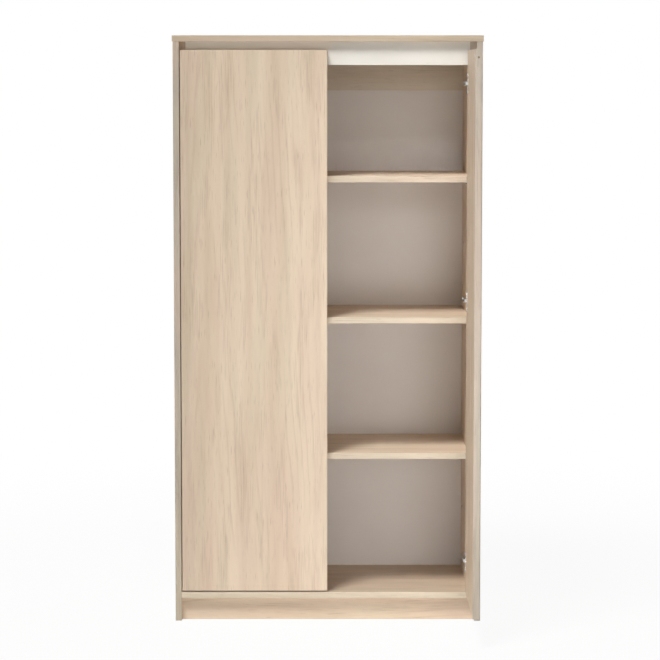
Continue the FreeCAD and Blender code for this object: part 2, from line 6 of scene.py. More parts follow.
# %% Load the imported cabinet
import bpy
import math
import numpy as np
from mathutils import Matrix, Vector


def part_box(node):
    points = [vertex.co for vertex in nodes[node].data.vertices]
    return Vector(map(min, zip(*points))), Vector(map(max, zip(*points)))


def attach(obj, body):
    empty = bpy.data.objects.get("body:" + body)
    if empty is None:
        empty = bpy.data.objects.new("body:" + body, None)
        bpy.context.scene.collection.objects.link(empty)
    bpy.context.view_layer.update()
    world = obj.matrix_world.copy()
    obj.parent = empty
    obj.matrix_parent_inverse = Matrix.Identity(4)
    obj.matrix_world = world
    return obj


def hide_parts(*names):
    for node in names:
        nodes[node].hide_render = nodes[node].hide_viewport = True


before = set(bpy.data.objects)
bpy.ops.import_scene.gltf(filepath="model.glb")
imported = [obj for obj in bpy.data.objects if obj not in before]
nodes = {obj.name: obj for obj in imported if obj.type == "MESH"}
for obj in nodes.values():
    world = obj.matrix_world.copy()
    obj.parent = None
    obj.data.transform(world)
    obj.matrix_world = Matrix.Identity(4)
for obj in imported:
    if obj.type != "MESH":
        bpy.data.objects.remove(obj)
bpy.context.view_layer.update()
mm = 0.001

# %% [markdown]
# The photograph was taken from far away with a long lens, a little under the height of the top panel, so
# the shelves show their tops and the top panel shows only its edge. Tilting the camera down brings the
# whole cabinet into the frame. The tilt and the lens follow from two rows of the picture: the one where
# the top panel's upper edge lies and the one where the side panels meet the floor.

# %% Camera
# Rows are counted in pixels from the top of a picture of this many rows
picture = 660
top_row = 35.2
floor_row = 620.6
camera_height = 1442 * mm
camera_distance = 6950 * mm
camera_x = 5.7 * mm
sensor = 36.0
level = math.radians(90)
halvings = 40

front_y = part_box("left_door")[0][1]
cabinet_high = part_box("top_panel")[1][2]
centre_row = picture / 2
angle_to_top = math.atan2(camera_height - cabinet_high, camera_distance)
angle_to_floor = math.atan2(camera_height, camera_distance)


def focal_for(tilt):
    """The lens in pixels that spreads the cabinet over its rows: rows over the difference of tangents."""
    tangents = math.tan(angle_to_floor - tilt) - math.tan(angle_to_top - tilt)
    return (floor_row - top_row) / tangents


# The right tilt is found by halving: while the floor's row comes out too low, the tilt has to grow
low_tilt = 0.0
high_tilt = angle_to_floor
for _ in range(halvings):
    tilt = (low_tilt + high_tilt) / 2
    row = centre_row + focal_for(tilt) * math.tan(angle_to_floor - tilt)
    low_tilt, high_tilt = (tilt, high_tilt) if row > floor_row else (low_tilt, tilt)

camera_data = bpy.data.cameras.new("camera")
camera_data.sensor_width = sensor
camera_data.lens = focal_for(tilt) * sensor / picture
camera = bpy.data.objects.new("camera", camera_data)
camera.location = (camera_x, front_y - camera_distance, camera_height)
camera.rotation_euler = (level - tilt, 0, 0)
bpy.context.scene.collection.objects.link(camera)
bpy.context.scene.camera = camera
print("tilt in degrees", round(math.degrees(tilt), 2), "lens in mm", round(camera_data.lens, 1))

# %% [markdown]
# Every finish below is a tree of nodes. One function adds a node with its settings and what feeds it,
# one turns the colours, written as they look on screen, into the linear values that Blender calculates
# with, and one feeds the finished colour, roughness and relief to the shader.

# %% Colour and node helpers
# Blender's Mix node keeps sockets for each kind of value: colours enter at 6 and 7 and leave at 2,
# numbers enter at 2 and 3 and leave at 0
COLOUR_1, COLOUR_2, COLOUR_OUT = 6, 7, 2
NUMBER_1, NUMBER_2, NUMBER_OUT = 2, 3, 0


def linear(code):
    """A colour written as sRGB hex, turned linear by the sRGB curve."""
    parts = [int(code[k:k + 2], 16) / 255 for k in (1, 3, 5)]
    curve = [c / 12.92 if c <= 0.04045 else ((c + 0.055) / 1.055) ** 2.4 for c in parts]
    return tuple(curve) + (1.0,)


def add(tree, kind, inputs=None, **settings):
    """Adds one node. Settings are its own choices, inputs are values or the outputs that feed it."""
    node = tree.nodes.new(kind)
    for key, value in settings.items():
        setattr(node, key, value)
    for key, value in (inputs or {}).items():
        if isinstance(value, bpy.types.NodeSocket):
            tree.links.new(value, node.inputs[key])
        else:
            node.inputs[key].default_value = value
    return node


def new_material(name):
    """An empty material whose tree holds only its shader and its output."""
    material = bpy.data.materials.new(name)
    material.use_nodes = True
    tree = material.node_tree
    tree.nodes.clear()
    shader = add(tree, "ShaderNodeBsdfPrincipled")
    add(tree, "ShaderNodeOutputMaterial", {"Surface": shader.outputs[0]})
    return material, tree, shader


def surface(tree, shader, colour, rough, relief=None, strength=0.0, depth=0.0):
    """Feeds the shader its colour and roughness, and a bump where relief gives a height."""
    tree.links.new(colour, shader.inputs["Base Color"])
    tree.links.new(rough, shader.inputs["Roughness"])
    if relief is not None:
        bump = add(tree, "ShaderNodeBump", {"Height": relief, "Strength": strength, "Distance": depth})
        tree.links.new(bump.outputs[0], shader.inputs["Normal"])


# %% [markdown]
# The studio is a pale floor under a white surround. The floor looks white to the camera and to shiny
# metal, but keeps the soft shadow under the plinth. The share of its own colour fades with distance, so
# that no horizon shows.

# %% Floor and surround
floor_half = 30.0
floor_fade_start = 0.9
floor_fade_end = 3.2
floor_shadow_share = 0.06
floor_colour = linear("#F2F1EF")
surround_colour = linear("#FFFFFF")
surround_strength = 0.04
plain_white = (1, 1, 1, 1)

corners = np.array([(-1, -1), (1, -1), (1, 1), (-1, 1)]) * floor_half
floor_mesh = bpy.data.meshes.new("floor")
floor_mesh.from_pydata([(x, y, 0.0) for x, y in corners], [], [(0, 1, 2, 3)])
floor = bpy.data.objects.new("floor", floor_mesh)
bpy.context.scene.collection.objects.link(floor)


def seen_directly(tree):
    """One for rays of the camera, mirrors and glass, zero for rays that only light the object."""
    path = add(tree, "ShaderNodeLightPath")
    some = add(tree, "ShaderNodeMath", {0: path.outputs["Is Camera Ray"],
                                        1: path.outputs["Is Glossy Ray"]}, operation="MAXIMUM")
    return add(tree, "ShaderNodeMath", {0: some.outputs[0], 1: path.outputs["Is Transmission Ray"]},
               operation="MAXIMUM").outputs[0]


floor_material = bpy.data.materials.new("pale_studio_floor")
floor_material.use_nodes = True
tree = floor_material.node_tree
tree.nodes.clear()
place = add(tree, "ShaderNodeTexCoord")
away = add(tree, "ShaderNodeVectorMath", {0: place.outputs["Object"]}, operation="LENGTH")
fade = add(tree, "ShaderNodeMapRange", {"Value": away.outputs["Value"], "From Min": floor_fade_start,
                                        "From Max": floor_fade_end, "To Min": 1 - floor_shadow_share,
                                        "To Max": 1.0}, interpolation_type="SMOOTHSTEP")
share = add(tree, "ShaderNodeMath", {0: fade.outputs[0], 1: seen_directly(tree)}, operation="MULTIPLY")
matt = add(tree, "ShaderNodeBsdfDiffuse", {"Color": floor_colour})
glow = add(tree, "ShaderNodeEmission", {"Color": plain_white, "Strength": 1.0})
mixed = add(tree, "ShaderNodeMixShader", {0: share.outputs[0], 1: matt.outputs[0], 2: glow.outputs[0]})
add(tree, "ShaderNodeOutputMaterial", {"Surface": mixed.outputs[0]})
floor.data.materials.append(floor_material)

world = bpy.data.worlds.new("white_surround")
bpy.context.scene.world = world
world.use_nodes = True
tree = world.node_tree
tree.nodes.clear()
soft = add(tree, "ShaderNodeBackground", {"Color": surround_colour, "Strength": surround_strength})
white = add(tree, "ShaderNodeBackground", {"Color": plain_white, "Strength": 1.0})
both = add(tree, "ShaderNodeMixShader", {0: seen_directly(tree), 1: soft.outputs[0], 2: white.outputs[0]})
add(tree, "ShaderNodeOutputWorld", {"Surface": both.outputs[0]})

# %% [markdown]
# Five lamps make the photograph. A low soft panel with a honeycomb grid stands in front, a little to the
# right: it shines into the open half, its grid keeps it off the strip above the closed door, and the
# open door keeps it off the right end of the shelves. A small spot fills the top compartment, a higher
# one passes under the white rail to the low part of its back, and a low strip reaches the plinth under
# the bottom panel. A large box hangs high behind the camera: the top panel shades the white rail from
# it, and on each shelf it reaches only the front. The photograph shows neither the right side nor the
# back, so two fills light them for the other views. They stand lower than the top panel, because a lamp
# above it would glare on its surface in a low view.

# %% Lamps
middle = (0, 0, cabinet_high / 2)
low_middle = (0, 0, 0.7)
no_grid = 180
# Place, what the lamp looks at, its width and height in metres, watts, and the angle in degrees that its
# grid lets through
lamps = {
    "front_panel": ((0.5, -2.2, 0.58), (0.34, 0, 0.6), (0.5, 0.9), 1.25, 49),
    "upper_spot": ((0.42, -2.4, 1.72), (0.31, 0, 1.22), (0.3, 0.3), 0.11, 22),
    "high_spot": ((0.2, -2.4, 2.7), (0.2, 0, 1.31), (0.35, 0.05), 0.05, 7),
    "low_strip": ((-0.3, -2.4, 0.12), (-0.25, 0, 0.04), (1.4, 0.1), 0.16, 20),
    "overhead_box": ((-2.2, -4.2, 8.0), middle, (2.4, 2.4), 612, no_grid),
    "right_fill": ((5.0, 1.8, 0.8), low_middle, (2.4, 1.2), 66, no_grid),
    "rear_fill": ((-1.5, 6.0, 0.8), low_middle, (2.8, 1.2), 80, no_grid),
}
for name, (position, target, size, watts, grid) in lamps.items():
    light = bpy.data.lights.new(name, "AREA")
    light.shape = "RECTANGLE"
    light.size, light.size_y = size
    light.energy = watts
    light.spread = math.radians(grid)
    lamp = bpy.data.objects.new(name, light)
    lamp.location = position
    lamp.rotation_euler = (Vector(target) - lamp.location).to_track_quat("-Z", "Y").to_euler()
    bpy.context.scene.collection.objects.link(lamp)
bpy.context.scene.view_settings.view_transform = "Standard"
print("lamps", list(lamps))

# %% [markdown]
# The boards are chipboard faced with melamine paper that is printed with an oak figure and pressed
# against an embossed plate. A photograph of wood would be the easy way to show it. Here the figure is
# worked out as a saw works it out of a trunk: growth rings are distances from the trunk's heart, and a
# board cut beside the heart shows them as long arches along the grain. Over the rings lie streaks of four
# sizes, the fine strokes of the fibres and the short dark flecks of the pores.

# %% The printed oak decor
# Each decor tone is four colours: pale bands, ground, rings and streaks, fibres and pores. The edge bands
# were bought to match: greyer on the sides, creamier on the shelves. The rail at the back is greyer too.
decors = {
    "face": [linear(c) for c in ("#F0DDC5", "#E5CFB6", "#CBB094", "#A1846A")],
    # The 'top' tone is also laid on the bottom panel, as painted shade of the bottom compartment
    "top": [linear(c) for c in ("#D9C5AE", "#CFBBA4", "#B59E85", "#9A846B")],
    "side": [linear(c) for c in ("#C5BAAB", "#BAAE9E", "#A49583", "#8E7E6C")],
    "rail": [linear(c) for c in ("#DFD4C1", "#D9CDBA", "#C6B9A4", "#A5957E")],
    "cream": [linear(c) for c in ("#E8DDC7", "#DDCFB8", "#C4B096", "#9B846B")],
}
pink_drift = linear("#E3C9B4")
green_drift = linear("#DDCFB4")
# Laid over the left door's left edge: partly a duller leaf of the print, partly painted shade of the
# light falling off to the left
dull_leaf_and_painted_shade = linear("#CDB8A2")
dull_leaf_and_shade_share = 0.6

ring_spacing = 17 * mm
heart_depth = 30 * mm
arch_slope = 0.05
ring_wander = 24 * mm
# One ring outwards: pale wood, then the dark line of late wood, then pale again, as place and darkness
ring_line = ((0.62, 0.06), (0.85, 1.0), (0.93, 0.2))

# The noises of the print: cell width, cell length, shift from the board's own place, octaves, roughness
noises = {
    "wander": (60 * mm, 420 * mm, 5, 2.0, 0.5),
    "ring_parts": (72.8 * mm, 375 * mm, 11, 2.0, 0.5),
    "bands": (52 * mm, 1500 * mm, 0, 2.0, 0.5),
    "drift": (41.6 * mm, 450 * mm, 13, 2.0, 0.5),
    "streaks": (30 * mm, 420 * mm, 17, 4.0, 0.62),
    "patches": (40 * mm, 260 * mm, 19, 2.0, 0.5),
    "fibres": (2.4 * mm, 95 * mm, 23, 2.0, 0.5),
    "pores": (2.0 * mm, 45 * mm, 31, 1.0, 0.5),
}
along_shift_share = 0.37
# Between which values of its noise each layer grows from nothing to its share
pale_band = (0.36, 0.64, 0.8)
pink_part = (0.48, 0.66, 0.4)
green_part = (0.48, 0.32, 0.4)
dark_streak = (0.5, 0.85, 0.44)
pale_streak = (0.5, 0.2, 0.45)
ring_layer = (0.0, 1.0, 0.6)
fibre_stroke = (0.42, 0.78, 0.3)
pore_fleck = (0.68, 0.86, 0.5)
ring_part_low, ring_part_high = 0.45, 0.66
patch_low, patch_high = 0.36, 0.6


def stretched_noise(tree, across, along, shift, kind):
    """Noise with long cells: each coordinate is divided by its own cell size."""
    width, length, own_shift, octaves, roughness = noises[kind]
    shift = shift + own_shift
    u = add(tree, "ShaderNodeMath", {0: across, 1: 1 / width, 2: shift}, operation="MULTIPLY_ADD")
    v = add(tree, "ShaderNodeMath", {0: along, 1: 1 / length, 2: shift * along_shift_share},
            operation="MULTIPLY_ADD")
    spot = add(tree, "ShaderNodeCombineXYZ", {0: u.outputs[0], 1: v.outputs[0]})
    return add(tree, "ShaderNodeTexNoise", {"Vector": spot.outputs[0], "Scale": 1.0, "Detail": octaves,
                                            "Roughness": roughness}, noise_dimensions="2D").outputs[0]


# %% [markdown]
# A board's figure runs along its length, so each layout names two axes: across the grain and along it.
# A strip that turns a corner, such as an edge band round a door, names a second pair for its other leg.
# A surface faces an axis when its normal's part along it is over one half.

# %% Directions of the grain
facing_limit = 0.5


def grain_directions(tree, layout):
    """Picks the coordinates across and along the grain. A second pair is used where the surface faces
    the axis named as "on"."""
    coordinates = add(tree, "ShaderNodeTexCoord")
    place = add(tree, "ShaderNodeSeparateXYZ", {0: coordinates.outputs["Object"]})
    across, along = (place.outputs[letter] for letter in layout["grain"])
    if "grain_on" in layout:
        facing = add(tree, "ShaderNodeSeparateXYZ", {0: coordinates.outputs["Normal"]})
        size = add(tree, "ShaderNodeMath", {0: facing.outputs[layout["on"]]}, operation="ABSOLUTE")
        chosen = add(tree, "ShaderNodeMath", {0: size.outputs[0], 1: facing_limit},
                     operation="GREATER_THAN")
        across, along = (
            add(tree, "ShaderNodeMix", {"Factor": chosen.outputs[0], NUMBER_1: first,
                                        NUMBER_2: place.outputs[letter]}).outputs[NUMBER_OUT]
            for first, letter in zip((across, along), layout["grain_on"]))
    return across, along


# %% [markdown]
# The rings come first. A point's ring number is its distance from the heart, plus a slope along the
# trunk, wandering a little, over the spacing of the rings. The part after the point tells where in the
# ring it lies. Rings fade in and out over the board, so that they show only in places.

# %% Growth rings
def growth_rings(tree, layout, across, along, noise):
    """How dark the ring line is: the ring's profile at the fraction of the ring number."""
    beside = add(tree, "ShaderNodeMath", {0: across, 1: layout["heart"]}, operation="SUBTRACT")
    arm = add(tree, "ShaderNodeCombineXYZ", {0: beside.outputs[0], 1: heart_depth})
    distance = add(tree, "ShaderNodeVectorMath", {0: arm.outputs[0]}, operation="LENGTH")
    rise = add(tree, "ShaderNodeMath", {0: along, 1: arch_slope, 2: distance.outputs["Value"]},
               operation="MULTIPLY_ADD")
    moved = add(tree, "ShaderNodeMath", {0: noise["wander"], 1: ring_wander, 2: rise.outputs[0]},
                operation="MULTIPLY_ADD")
    number = add(tree, "ShaderNodeMath", {0: moved.outputs[0], 1: ring_spacing}, operation="DIVIDE")
    phase = add(tree, "ShaderNodeMath", {0: number.outputs[0]}, operation="FRACT")
    ring = add(tree, "ShaderNodeValToRGB", {0: phase.outputs[0]})
    ramp = ring.color_ramp
    ramp.elements[0].color = ramp.elements[1].color = (0, 0, 0, 1)
    for position, grey in ring_line:
        ramp.elements.new(position).color = (grey, grey, grey, 1)
    visible = add(tree, "ShaderNodeMapRange", {"Value": noise["ring_parts"], "From Min": ring_part_low,
                                               "From Max": ring_part_high, "To Min": 0.0,
                                               "To Max": layout["figure"]})
    return add(tree, "ShaderNodeMath", {0: ring.outputs[0], 1: visible.outputs[0]},
               operation="MULTIPLY").outputs[0]


# %% [markdown]
# The print is then built up like coats of glaze: each layer covers the one below by a share that grows
# with its own noise. Pale bands and slow drifts of colour come first, then streaks and rings, and on top
# the fibre strokes, which lie only in patches, and the pores.

# %% Layers of the print
def layer(tree, below, colour, value, extent):
    """Lays a colour over the one below, from nothing where the value is low to its share where high."""
    low, high, full_share = extent
    part = add(tree, "ShaderNodeMapRange", {"Value": value, "From Min": low, "From Max": high,
                                            "To Min": 0.0, "To Max": full_share})
    mixed = add(tree, "ShaderNodeMix", {"Factor": part.outputs[0], COLOUR_1: below, COLOUR_2: colour},
                data_type="RGBA")
    return mixed.outputs[COLOUR_OUT], part.outputs[0]


def oak_figure(tree, layout):
    """Colour, fibre value and pore mask of the print, from its coordinates across and along the grain."""
    across, along = grain_directions(tree, layout)
    noise = {kind: stretched_noise(tree, across, along, layout["shift"], kind) for kind in noises}
    rings = growth_rings(tree, layout, across, along, noise)
    thick = add(tree, "ShaderNodeMapRange", {"Value": noise["patches"], "From Min": patch_low,
                                             "From Max": patch_high})
    strokes = add(tree, "ShaderNodeMath", {0: noise["fibres"], 1: thick.outputs[0]},
                  operation="MULTIPLY").outputs[0]
    pale, ground, deep, dark = decors[layout.get("decor", "face")]
    colour, _ = layer(tree, ground, pale, noise["bands"], pale_band)
    if "dull_leaf_and_painted_shade" in layout:
        # The print joins two leaves of veneer, and this one is duller up to a soft line: the darkening is
        # partly that leaf and partly painted shade where the light falls off towards the door's left edge
        colour, _ = layer(tree, colour, dull_leaf_and_painted_shade, across, layout["dull_leaf_and_painted_shade"] + (dull_leaf_and_shade_share,))
    colour, _ = layer(tree, colour, pink_drift, noise["drift"], pink_part)
    colour, _ = layer(tree, colour, green_drift, noise["drift"], green_part)
    colour, _ = layer(tree, colour, deep, noise["streaks"], dark_streak)
    colour, _ = layer(tree, colour, pale, noise["streaks"], pale_streak)
    colour, _ = layer(tree, colour, deep, rings, ring_layer)
    colour, _ = layer(tree, colour, dark, strokes, fibre_stroke)
    colour, pores = layer(tree, colour, dark, noise["pores"], pore_fleck)
    return colour, noise["fibres"], pores


# %% [markdown]
# Where a board has no edge band its cut edge shows the chips it is pressed from: pale and brown flakes
# a millimetre or two across, rough to the touch. The same material shows them wherever the surface does
# not face the board's thickness, so the back and the underside look like the real thing.

# %% Melamine board with raw edges
chip_size = 2.2 * mm
chip_pale = linear("#D2B48C")
chip_dark = linear("#8E6B46")
raw_rough = 0.92
print_smooth, print_rough = 0.42, 0.56
emboss_strength = 0.25
emboss_depth = 0.06 * mm
melamine_ior = 1.5


def oak_melamine(name, layout):
    """Melamine-faced chipboard: oak print on the faces, raw chips on the cut edges."""
    material, tree, shader = new_material(name)
    colour, fibres, pores = oak_figure(tree, layout)
    rough = add(tree, "ShaderNodeMapRange", {"Value": fibres, "To Min": print_smooth,
                                             "To Max": print_rough}).outputs[0]
    # The press plate sinks the pores under the fibres: height is fibres less pores
    height = add(tree, "ShaderNodeMath", {0: fibres, 1: pores}, operation="SUBTRACT").outputs[0]
    if "thickness" in layout:
        coordinates = add(tree, "ShaderNodeTexCoord")
        facing = add(tree, "ShaderNodeSeparateXYZ", {0: coordinates.outputs["Normal"]})
        size = add(tree, "ShaderNodeMath", {0: facing.outputs[layout["thickness"]]}, operation="ABSOLUTE")
        edge = add(tree, "ShaderNodeMath", {0: size.outputs[0], 1: facing_limit},
                   operation="LESS_THAN").outputs[0]
        chips = add(tree, "ShaderNodeTexVoronoi", {"Vector": coordinates.outputs["Object"],
                                                   "Scale": 1 / chip_size, "Randomness": 1.0})
        tone = add(tree, "ShaderNodeSeparateXYZ", {0: chips.outputs["Color"]})
        chip = add(tree, "ShaderNodeMix", {"Factor": tone.outputs[0], COLOUR_1: chip_pale,
                                           COLOUR_2: chip_dark}, data_type="RGBA")
        colour = add(tree, "ShaderNodeMix", {"Factor": edge, COLOUR_1: colour,
                                             COLOUR_2: chip.outputs[COLOUR_OUT]},
                     data_type="RGBA").outputs[COLOUR_OUT]
        rough = add(tree, "ShaderNodeMix", {"Factor": edge, NUMBER_1: rough,
                                            NUMBER_2: raw_rough}).outputs[NUMBER_OUT]
        height = add(tree, "ShaderNodeMix", {"Factor": edge, NUMBER_1: height,
                                             NUMBER_2: chips.outputs["Distance"]}).outputs[NUMBER_OUT]
    surface(tree, shader, colour, rough, height, emboss_strength, emboss_depth)
    shader.inputs["IOR"].default_value = melamine_ior
    return material


# %% [markdown]
# Each board gets its own cut of the same print: another place of the heart, another stretch of the noise
# and rings that are stronger or fainter. The back rail was pressed with a duller paper. The bottom panel
# is given a darker tone as painted shade of its compartment. A pair of sides shares one print, as boards
# from one sheet do.

# %% Boards
# grain: axes across and along. heart: where the trunk's heart lies across, in mm. shift: the board's
# own stretch of noise. figure: strength of the rings. thickness: the axis its faces look along.
boards = {
    # The left door's left edge is darkened up to a soft line: partly a duller leaf of the print, partly
    # painted shade
    "left_door": {"grain": "XZ", "heart": -317 * mm, "shift": 3.1, "figure": 0.6, "thickness": "Y",
                  "dull_leaf_and_painted_shade": (-300 * mm, -360 * mm), "nodes": ["left_door"]},
    "right_door": {"grain": "YZ", "heart": -150 * mm, "shift": 9.7, "figure": 0.6, "thickness": "X",
                   "nodes": ["right_door"]},
    "left_side": {"grain": "YZ", "heart": 60 * mm, "shift": 14.2, "figure": 0.6, "thickness": "X",
                  "nodes": ["left_side_panel", "right_inner_side"]},
    "right_side": {"grain": "YZ", "heart": 310 * mm, "shift": 21.5, "figure": 0.6, "thickness": "X",
                   "nodes": ["right_side_panel", "left_inner_side"]},
    "top": {"grain": "YX", "heart": 120 * mm, "shift": 27.3, "figure": 0.6, "thickness": "Z",
            "nodes": ["top_panel"]},
    # The bottom panel takes the darker 'top' tone as painted shade: its whole top is darkened for the
    # shade of its compartment
    "floor_board_painted_shade": {"grain": "YX", "heart": 260 * mm, "shift": 33.9, "figure": 0.5, "thickness": "Z",
                    "decor": "top", "nodes": ["bottom_panel"]},
    "lower_shelf": {"grain": "YX", "heart": 40 * mm, "shift": 41.4, "figure": 0.5, "thickness": "Z",
                    "nodes": ["lower_shelf"]},
    "middle_shelf": {"grain": "YX", "heart": 190 * mm, "shift": 48.8, "figure": 0.5, "thickness": "Z",
                     "nodes": ["middle_shelf"]},
    "upper_shelf": {"grain": "YX", "heart": 330 * mm, "shift": 55.6, "figure": 0.5, "thickness": "Z",
                    "nodes": ["upper_shelf"]},
    "plinth": {"grain": "ZX", "heart": 90 * mm, "shift": 61.2, "figure": 0.7, "thickness": "Y",
               "nodes": ["front_plinth", "rear_plinth"]},
    "rear_rail": {"grain": "ZX", "heart": 1430 * mm, "shift": 68.5, "figure": 0.3, "thickness": "Y",
                  "decor": "rail", "nodes": ["rear_top_rail"]},
}
finished = set()


def dress(names, material):
    """Gives one material to the slots of several CAD nodes."""
    for name in names:
        for slot in nodes[name].material_slots:
            slot.material = material
        finished.add(name)


for key, layout in boards.items():
    dress(layout["nodes"], oak_melamine("oak_melamine_" + key, layout))
print("melamine boards", len(finished))

# %% [markdown]
# Edge bands are strips of printed plastic, a millimetre thick, glued on and milled round at their
# arrises. They carry the same print along their length, with fainter rings than the boards.

# %% Edge bands
bands = {
    "top": {"grain": "ZX", "grain_on": "ZY", "on": "X", "heart": 1480 * mm, "shift": 73.1, "figure": 0.4,
            "decor": "top", "nodes": ["top_edge_bands"]},
    "upright": {"grain": "XZ", "heart": 350 * mm, "shift": 79.9, "figure": 0.4, "decor": "side",
                "nodes": ["side_edge_bands"]},
    "level": {"grain": "ZX", "heart": 30 * mm, "shift": 84.4, "figure": 0.4,
              "decor": "cream", "nodes": ["bottom_edge_band", "shelf_edge_bands"]},
    "left_door": {"grain": "YZ", "grain_on": "YX", "on": "Z", "heart": 20 * mm, "shift": 91.3,
                  "figure": 0.4, "nodes": ["left_door_edge_bands"]},
    "right_door": {"grain": "XZ", "grain_on": "XY", "on": "Z", "heart": 340 * mm, "shift": 96.7,
                   "figure": 0.4, "decor": "side", "nodes": ["right_door_edge_bands"]},
}
for key, layout in bands.items():
    dress(layout["nodes"], oak_melamine("oak_edge_band_" + key, layout))
print("boards and edge bands", len(finished))

# %% [markdown]
# The rail above the doors is the same chipboard with a plain white facing. Its press plate leaves a very
# fine dimple, so the white is never quite even.

# %% White melamine
white_dimple = 1.1 * mm
white_cloud = 90 * mm
white_pale, white_dull = linear("#F6F3EC"), linear("#EFEBE2")
white_smooth, white_rough = 0.36, 0.48
white_relief, white_relief_depth = 0.2, 0.05 * mm


def white_melamine(name):
    """White melamine facing, pressed with a fine dimple that softens its highlights."""
    material, tree, shader = new_material(name)
    place = add(tree, "ShaderNodeTexCoord").outputs["Object"]
    dimple = add(tree, "ShaderNodeTexNoise", {"Vector": place, "Scale": 1 / white_dimple, "Detail": 2.0})
    cloud = add(tree, "ShaderNodeTexNoise", {"Vector": place, "Scale": 1 / white_cloud, "Detail": 2.0})
    tint = add(tree, "ShaderNodeMix", {"Factor": cloud.outputs[0], COLOUR_1: white_pale,
                                       COLOUR_2: white_dull}, data_type="RGBA")
    rough = add(tree, "ShaderNodeMapRange", {"Value": dimple.outputs[0], "To Min": white_smooth,
                                             "To Max": white_rough})
    surface(tree, shader, tint.outputs[COLOUR_OUT], rough.outputs[0], dimple.outputs[0], white_relief,
            white_relief_depth)
    return material


dress(["front_top_rail"], white_melamine("white_melamine_pressed"))

# %% [markdown]
# The back is a thin hardboard, printed beige grey on the side that shows and plain brown fibre on the
# other. The fibre mat is a short, cloudy texture without direction, fine tufts within larger blotches.

# %% Printed hardboard
mat_size, blotch_size, print_cloud = 3.5 * mm, 22 * mm, 140 * mm
print_pale, print_dull = linear("#F3EEEA"), linear("#EBE5E0")
fibre_pale, fibre_dark = linear("#94724F"), linear("#664A32")
mat_part = 0.5
fibre_low, fibre_high = 0.55, 0.95
hardboard_smooth, hardboard_rough = 0.55, 0.75
hardboard_relief, hardboard_relief_depth = 0.2, 0.08 * mm


def printed_hardboard(name):
    """Hardboard: printed face towards the front, raw brown fibre on the rear face and edges."""
    material, tree, shader = new_material(name)
    coordinates = add(tree, "ShaderNodeTexCoord")
    place = coordinates.outputs["Object"]
    facing = add(tree, "ShaderNodeSeparateXYZ", {0: coordinates.outputs["Normal"]})
    front = add(tree, "ShaderNodeMath", {0: facing.outputs["Y"], 1: -facing_limit}, operation="LESS_THAN")
    mat = add(tree, "ShaderNodeTexNoise", {"Vector": place, "Scale": 1 / mat_size, "Detail": 4.0,
                                           "Roughness": 0.7}).outputs[0]
    cloud = add(tree, "ShaderNodeTexNoise", {"Vector": place, "Scale": 1 / print_cloud, "Detail": 3.0})
    blotch = add(tree, "ShaderNodeTexNoise", {"Vector": place, "Scale": 1 / blotch_size, "Detail": 5.0,
                                              "Roughness": 0.65})
    print_tone = add(tree, "ShaderNodeMix", {"Factor": cloud.outputs[0], COLOUR_1: print_pale,
                                             COLOUR_2: print_dull}, data_type="RGBA")
    fibre_mix = add(tree, "ShaderNodeMath", {0: mat, 1: mat_part, 2: blotch.outputs[0]},
                    operation="MULTIPLY_ADD")
    fibre_share = add(tree, "ShaderNodeMapRange", {"Value": fibre_mix.outputs[0], "From Min": fibre_low,
                                                   "From Max": fibre_high})
    fibre_tone = add(tree, "ShaderNodeMix", {"Factor": fibre_share.outputs[0], COLOUR_1: fibre_pale,
                                             COLOUR_2: fibre_dark}, data_type="RGBA")
    tint = add(tree, "ShaderNodeMix", {"Factor": front.outputs[0],
                                       COLOUR_1: fibre_tone.outputs[COLOUR_OUT],
                                       COLOUR_2: print_tone.outputs[COLOUR_OUT]}, data_type="RGBA")
    rough = add(tree, "ShaderNodeMapRange", {"Value": mat, "To Min": hardboard_smooth,
                                             "To Max": hardboard_rough})
    surface(tree, shader, tint.outputs[COLOUR_OUT], rough.outputs[0], mat, hardboard_relief,
            hardboard_relief_depth)
    return material


dress(["back_panel"], printed_hardboard("hardboard_printed"))

# %% [markdown]
# Hinges are pressed from strip steel and plated with bright nickel. Rolling and plating leave faint
# lines and a slightly uneven gloss, which is what makes thin metal look like metal from close by.

# %% Metals
rolling_stretch = 0.12
rolling_low, rolling_high = 0.25, 0.75
dull_metal_share = 0.86
metal_relief, metal_relief_depth = 0.15, 0.02 * mm
# Each metal: colour, its smoothest roughness, how much rougher it gets, and the spacing of its lines
metals = {
    "nickel_plated_pressed_steel": ("#D9D7D2", 0.16, 0.14, 0.5 * mm),
    "zinc_plated_turned_steel": ("#C9CCCF", 0.26, 0.16, 0.4 * mm),
    "zinc_die_casting": ("#A9A9AA", 0.42, 0.2, 0.8 * mm),
}


def plated_metal(name):
    """Bare or plated metal: its colour, with gloss that varies along fine lines."""
    code, gloss, unevenness, line_size = metals[name]
    material, tree, shader = new_material(name)
    place = add(tree, "ShaderNodeTexCoord").outputs["Object"]
    lines = add(tree, "ShaderNodeMapping", {"Vector": place, "Scale": (
        1 / line_size, rolling_stretch / line_size, 1 / line_size)})
    rolled = add(tree, "ShaderNodeTexNoise", {"Vector": lines.outputs[0], "Scale": 1.0,
                                              "Detail": 3.0}).outputs[0]
    rough = add(tree, "ShaderNodeMapRange", {"Value": rolled, "From Min": rolling_low,
                                             "From Max": rolling_high, "To Min": gloss,
                                             "To Max": gloss + unevenness})
    bright = linear(code)
    dull = tuple(c * dull_metal_share for c in bright[:3]) + (1.0,)
    tint = add(tree, "ShaderNodeMix", {"Factor": rolled, COLOUR_1: bright, COLOUR_2: dull},
               data_type="RGBA")
    surface(tree, shader, tint.outputs[COLOUR_OUT], rough.outputs[0], rolled, metal_relief,
            metal_relief_depth)
    shader.inputs["Metallic"].default_value = 1.0
    return material


